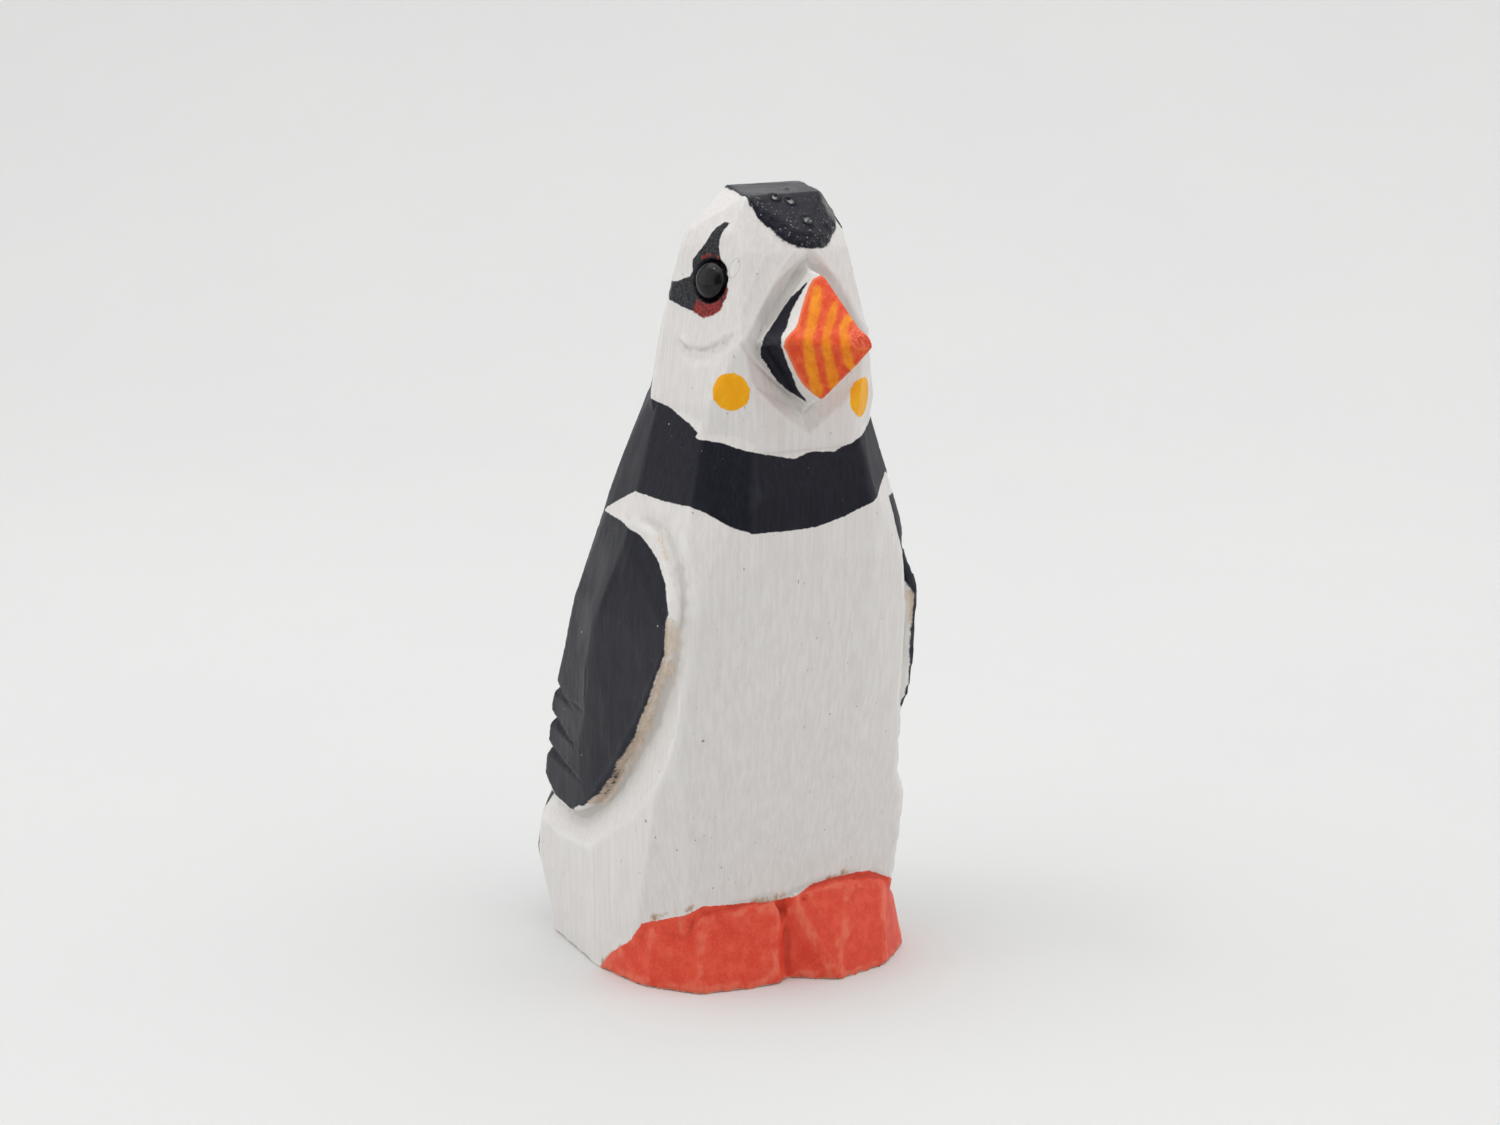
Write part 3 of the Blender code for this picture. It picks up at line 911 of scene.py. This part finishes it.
def black_paint(wood):
    """Black with dust and chips; on the cap also stipple with painted glints, bubbles with a
    painted highlight and painted shade, and a narrow facet painted grey as a reflection.

    Returns the colour, and the height of the stipple and of the bubbles' rings."""
    brush = wood.noise((0.25, 0.25, 3.5), 4, 0.65)
    black = wood.tones(brush, 0.35, 0.75, (9, 9, 23), (24, 25, 40))
    black = wood.glaze(black, wood.ramp(wood.mottle, 0.5, 0.75), 0.4, (40, 41, 54))
    # Painted highlight: lighter grey along the ridges
    black = wood.glaze(black, wood.wear_and_ridge_highlight, 0.2, (80, 82, 88))
    matt = wood.times(wood.area("patch"), wood.ramp(wood.fine, 0.4, 0.6))
    black = wood.glaze(black, matt, 0.7, (66, 68, 66))
    dust = wood.times(wood.specks(0.8, 0.07), wood.ramp(wood.clouds, 0.5, 0.6))
    black = wood.glaze(black, dust, 0.55, (150, 150, 152))
    black = wood.mix(wood.dots(CHIPS, wood.ragged), black, colour(178, 178, 182))
    stipple = wood.attribute("stipple")
    # Painted glints: light specks on the stipple at the cap's front
    painted_glints = wood.times(wood.specks(0.4, 0.27), wood.ramp(wood.fine, 0.44, 0.54))
    black = wood.glaze(black, wood.times(painted_glints, stipple), 0.9, (168, 170, 176))
    crust = wood.times(stipple, wood.noise((0.22, 0.22, 0.22), 3, 0.6))
    # Painted light on the bubbles: a painted highlight inside each and painted shade in a dark
    # ring round it
    bubble_highlight = 0.0
    for pixel, radius in PITS:
        apart = wood.apart(landed(*pixel), radius)
        rim = wood.times(wood.ramp(apart, 1.4, 1.1), wood.ramp(apart, 0.6, 0.9))
        bubble_highlight = wood.calc("MAXIMUM", bubble_highlight, wood.ramp(apart, 0.95, 0.5))
        # Painted shade: the dark ring round each bubble
        black = wood.glaze(black, rim, 0.8, (14, 14, 20))
        crust = wood.calc("ADD", crust, wood.calc("SUBTRACT", rim, wood.ramp(apart, 0.75, 0.3)))
    broken = wood.ramp(wood.noise((0.34, 0.34, 0.34), 2, 0.5), 0.42, 0.54)
    black = wood.glaze(black, wood.times(bubble_highlight, broken), 0.85, (172, 175, 174))
    # Painted reflection: the cap's narrow right facet lightened to grey
    reflection_sliver = wood.calc("MULTIPLY_ADD", wood.ragged, 1.5, wood.attribute("reflection_sliver"))
    return wood.glaze(black, wood.ramp(reflection_sliver, -0.25, 0.3), 0.75, (126, 128, 124)), crust


def coral_paint(wood):
    """Coral, with painted highlight along the knife ridges and painted shade in the cuts."""
    dabs = wood.noise((1.4, 1.4, 1.4), 5, 0.65)
    coral = wood.tones(dabs, 0.35, 0.7, (224, 70, 48), (236, 90, 66))
    coral = wood.glaze(coral, wood.ramp(wood.fine, 0.5, 0.75), 0.4, (240, 118, 92))
    coral = wood.glaze(coral, wood.ramp(wood.mottle, 0.5, 0.62), 0.3, (208, 60, 42))
    # Painted highlight: paler coral along the knife ridges
    ridge = wood.times(wood.ramp(wood.raised, 0.008, 0.05), wood.ramp(wood.clouds, 0.38, 0.6))
    coral = wood.glaze(coral, ridge, 0.5, (242, 136, 108))
    # Painted shade: darker coral in the cuts
    return wood.glaze(coral, wood.hollow_shade, 0.45, (168, 44, 30))


def beak_paint(wood):
    """Orange with a lighter border, yellow stripes and a coral knob."""
    dabs = wood.noise((0.6, 0.9, 1.3), 4, 0.65)
    orange = wood.tones(dabs, 0.35, 0.7, (222, 66, 28), (240, 104, 56))
    rim = wood.ramp(wood.attribute("orange"), 0.4, 0.05)
    orange = wood.glaze(orange, rim, 0.65, (248, 138, 88))
    knob = wood.attribute("knob")
    knob_tone = wood.tones(wood.fine, 0.45, 0.6, (222, 76, 48), (244, 116, 80))
    orange = wood.mix(wood.ramp(knob, -0.15, 0.2), orange, knob_tone)
    stripe_tone = wood.tones(dabs, 0.35, 0.7, (236, 130, 14), (250, 160, 20))
    stripes = wood.times(wood.area("stripes", 0.2), 0.9)
    orange = wood.mix(stripes, orange, stripe_tone)
    about = wood.times(wood.ramp(knob, -0.22, -0.06), wood.ramp(knob, 0.12, -0.02))
    return wood.glaze(orange, about, 0.22, (250, 168, 104))


def painted_wood():
    """White ground, then every paint over it where its distance field says."""
    wood = Paint()
    wood_tone = bare_wood(wood)
    black, crust = black_paint(wood)
    yellow = wood.tones(wood.clouds, 0.4, 0.7, (246, 168, 4), (252, 188, 26))
    red = wood.tones(wood.fine, 0.4, 0.6, (96, 26, 28), (160, 54, 48))
    shade = worn_ground(wood, white_paint(wood), wood_tone)
    shade = wood.mix(wood.area("coral"), shade, coral_paint(wood))
    shade = wood.mix(wood.area("black"), shade, black)
    shade = wood.mix(wood.area("ring", 0.1, 1.5), shade, red)
    shade = wood.mix(wood.area("orange", 0.04, 0.4), shade, beak_paint(wood))
    shade = wood.mix(wood.area("dots", 0.05, 1.1), shade, yellow)
    shade = wood.mix(wood.attribute("under"), shade, wood_tone)
    wood.put(wood.surface.inputs["Base Color"], shade)

    rough = wood.calc("MULTIPLY_ADD", wood.ramp(wood.mottle, 0.3, 0.7), 0.12, 0.36)
    rough = wood.calc("MULTIPLY_ADD", wood.area("cap"), -0.1, rough)
    wood.put(wood.surface.inputs["Roughness"], rough)
    wood.surface.inputs["Specular IOR Level"].default_value = 0.22
    height = wood.calc("MULTIPLY_ADD", wood.streaks, 0.18, wood.times(wood.fine, 0.25))
    height = wood.calc("MULTIPLY_ADD", wood.noise((0.7, 0.7, 1.2), 4, 0.6), 0.5, height)
    brushed = wood.bump(height, 0.7, 0.07)
    wood.put(wood.surface.inputs["Normal"], wood.bump(crust, 1.0, 0.12, brushed))
    return wood.material


def bead_material():
    bead = Shader("black_glass_bead")
    smear = bead.noise((0.5, 0.5, 0.5), 4, 0.6)
    shade = bead.tones(smear, 0.4, 0.7, (4, 4, 7), (22, 23, 27))
    bead.put(bead.surface.inputs["Base Color"], shade)
    bead.put(bead.surface.inputs["Roughness"], bead.calc("MULTIPLY_ADD", smear, 0.1, 0.07))
    bead.surface.inputs["Specular IOR Level"].default_value = 0.3
    return bead.material


def add_bead(name, node, material):
    """A pressed bead: a low dome on both sides of a faint moulding seam, worn at its crown."""
    places = places_of(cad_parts[node].data)
    centre = (places.min(axis=0) + places.max(axis=0)) / 2
    across = np.linalg.eigh(np.cov((places - centre).T))[1]
    reach = np.abs((places - centre) @ across)
    half = reach[:, 0].max()
    radius = np.linalg.norm(reach[:, 1:], axis=1).max()
    turn = 2 * np.pi * np.arange(BEAD_AROUND) / BEAD_AROUND
    verts = []
    for ring in range(1, BEAD_RINGS):
        angle = np.pi * ring / BEAD_RINGS
        swell = BEAD_SWELL - BEAD_SEAM * np.exp(-((np.cos(angle) / 0.06) ** 2))
        rise = swell * half * np.cos(angle)
        crown = np.exp(-((np.sin(angle) / 0.25) ** 2))
        rise -= BEAD_WEAR * half * np.sign(np.cos(angle)) * crown
        out = swell * radius * np.sin(angle)
        local = np.column_stack(
            (np.full(BEAD_AROUND, rise), out * np.cos(turn), out * np.sin(turn))
        )
        verts += list(local @ across.T)
    top = (BEAD_SWELL - BEAD_WEAR) * half
    verts += [across[:, 0] * top, across[:, 0] * -top]
    faces = []
    for ring in range(BEAD_RINGS - 2):
        for step in range(BEAD_AROUND):
            following = (step + 1) % BEAD_AROUND
            base, above = ring * BEAD_AROUND, (ring + 1) * BEAD_AROUND
            faces.append((base + step, above + step, above + following, base + following))
    last = (BEAD_RINGS - 2) * BEAD_AROUND
    for step in range(BEAD_AROUND):
        following = (step + 1) % BEAD_AROUND
        faces.append((len(verts) - 2, step, following))
        faces.append((len(verts) - 1, last + following, last + step))
    mesh = bpy.data.meshes.new(name)
    mesh.from_pydata([Vector(place * MM) for place in verts], [], faces)
    shape = bmesh.new()
    shape.from_mesh(mesh)
    bmesh.ops.recalc_face_normals(shape, faces=shape.faces)
    shape.to_mesh(mesh)
    shape.free()
    mesh.shade_smooth()
    mesh.materials.append(material)
    piece = bpy.data.objects.new(name, mesh)
    piece.location = Vector(centre * MM)
    bpy.context.scene.collection.objects.link(piece)
    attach(piece, "root")
    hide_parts(node)


def dress_body():
    piece = body_mesh()
    mesh = piece.data
    edges = edges_of(mesh)
    places = places_of(mesh)
    places = on_wood(places, np.where(in_fine_box(places), VOXEL / 2, VOXEL))
    places = evened(places, edges, 1, 0.3)
    set_places(mesh, places)
    fields = paint_fields(places)
    places = add_relief(places, normals_of(mesh), edges, fields)
    low, high = np.array(cad_box) / MM
    places = np.clip(places, low, high)
    set_places(mesh, places)
    normals = normals_of(mesh)
    hollow = ((evened(places, edges, 8) - places) * normals).sum(axis=1)
    fields["hollow"] = evened(hollow, edges, 1)
    faces_down = smooth_step(-normals[:, 2], 0.6, 0.9)
    fields["under"] = faces_down * smooth_step(-places[:, 2], -0.5, -0.2)
    for name, values in fields.items():
        store(mesh, name, values)
    mesh.shade_smooth()
    mesh.materials.append(painted_wood())
    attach(piece, "root")
    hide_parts("puffin_body")


def add_stage():
    """A pale sweep of card under and behind the figure."""
    mesh = bpy.data.meshes.new("pale_sweep")
    profile = [(SWEEP_FRONT, 0.0), (SWEEP_BEND, 0.0)]
    for step in range(1, SWEEP_STEPS + 1):
        angle = math.pi / 2 * step / SWEEP_STEPS
        back = SWEEP_BEND + SWEEP_RADIUS * math.sin(angle)
        profile.append((back, SWEEP_RADIUS - SWEEP_RADIUS * math.cos(angle)))
    profile.append((SWEEP_BEND + SWEEP_RADIUS, SWEEP_TOP))
    sides = (-SWEEP_HALF_WIDTH, SWEEP_HALF_WIDTH)
    verts = [(side, back, height) for back, height in profile for side in sides]
    faces = [(2 * i, 2 * i + 1, 2 * i + 3, 2 * i + 2) for i in range(len(profile) - 1)]
    mesh.from_pydata(verts, [], faces)
    mesh.shade_smooth()
    floor = bpy.data.objects.new("pale_sweep", mesh)
    floor.rotation_euler = (0, 0, -math.radians(CAMERA_TURN))
    bpy.context.scene.collection.objects.link(floor)
    card = Shader("pale_card")
    cloudy = card.noise((60, 60, 60), 3, 0.5)
    shade = card.mix(cloudy, colour(219, 220, 219), colour(224, 224, 223))
    card.put(card.surface.inputs["Base Color"], shade)
    card.surface.inputs["Roughness"].default_value = 0.85
    mesh.materials.append(card.material)


def add_lamp(name, place, size, power):
    data = bpy.data.lights.new(name, "AREA")
    data.shape = "RECTANGLE"
    data.size, data.size_y = size
    data.energy = power
    lamp = bpy.data.objects.new(name, data)
    lamp.location = place
    towards = Vector(LAMP_AIM) - Vector(place)
    lamp.rotation_euler = towards.to_track_quat("-Z", "Y").to_euler()
    bpy.context.scene.collection.objects.link(lamp)


def add_camera():
    data = bpy.data.cameras.new("photo_camera")
    data.lens = LENS
    data.sensor_width = SENSOR
    data.clip_start = 0.01
    camera = bpy.data.objects.new("photo_camera", data)
    camera.location = EYE_POINT * MM
    camera.rotation_euler = BACK.to_track_quat("Z", "Y").to_euler()
    bpy.context.scene.collection.objects.link(camera)
    bpy.context.scene.camera = camera


def add_world():
    """An even light box, dimmer at the opening that the photograph was taken through."""
    world = bpy.data.worlds.new("light_box")
    bpy.context.scene.world = world
    world.use_nodes = True
    background = world.node_tree.nodes["Background"]
    nodes, links = world.node_tree.nodes, world.node_tree.links
    towards = nodes.new("ShaderNodeVectorMath")
    towards.operation = "DOT_PRODUCT"
    links.new(nodes.new("ShaderNodeTexCoord").outputs["Generated"], towards.inputs[0])
    towards.inputs[1].default_value = BACK
    opening = nodes.new("ShaderNodeMapRange")
    opening.interpolation_type = "SMOOTHSTEP"
    opening.inputs["From Min"].default_value = math.cos(math.radians(OPENING_EDGE))
    opening.inputs["From Max"].default_value = math.cos(math.radians(OPENING_MIDDLE))
    opening.inputs["To Min"].default_value = BOX_LIGHT
    opening.inputs["To Max"].default_value = OPENING_LIGHT
    links.new(towards.outputs["Value"], opening.inputs["Value"])
    links.new(opening.outputs["Result"], background.inputs["Strength"])
    background.inputs["Color"].default_value = (1.0, 1.0, 1.0, 1)


dress_body()
black_bead = bead_material()
add_bead("bead_right", "eye_right", black_bead)
add_bead("bead_left", "eye_left", black_bead)
add_stage()
add_camera()
add_world()
for lamp in LAMPS:
    add_lamp(*lamp)
bpy.context.scene.view_settings.view_transform = "Standard"
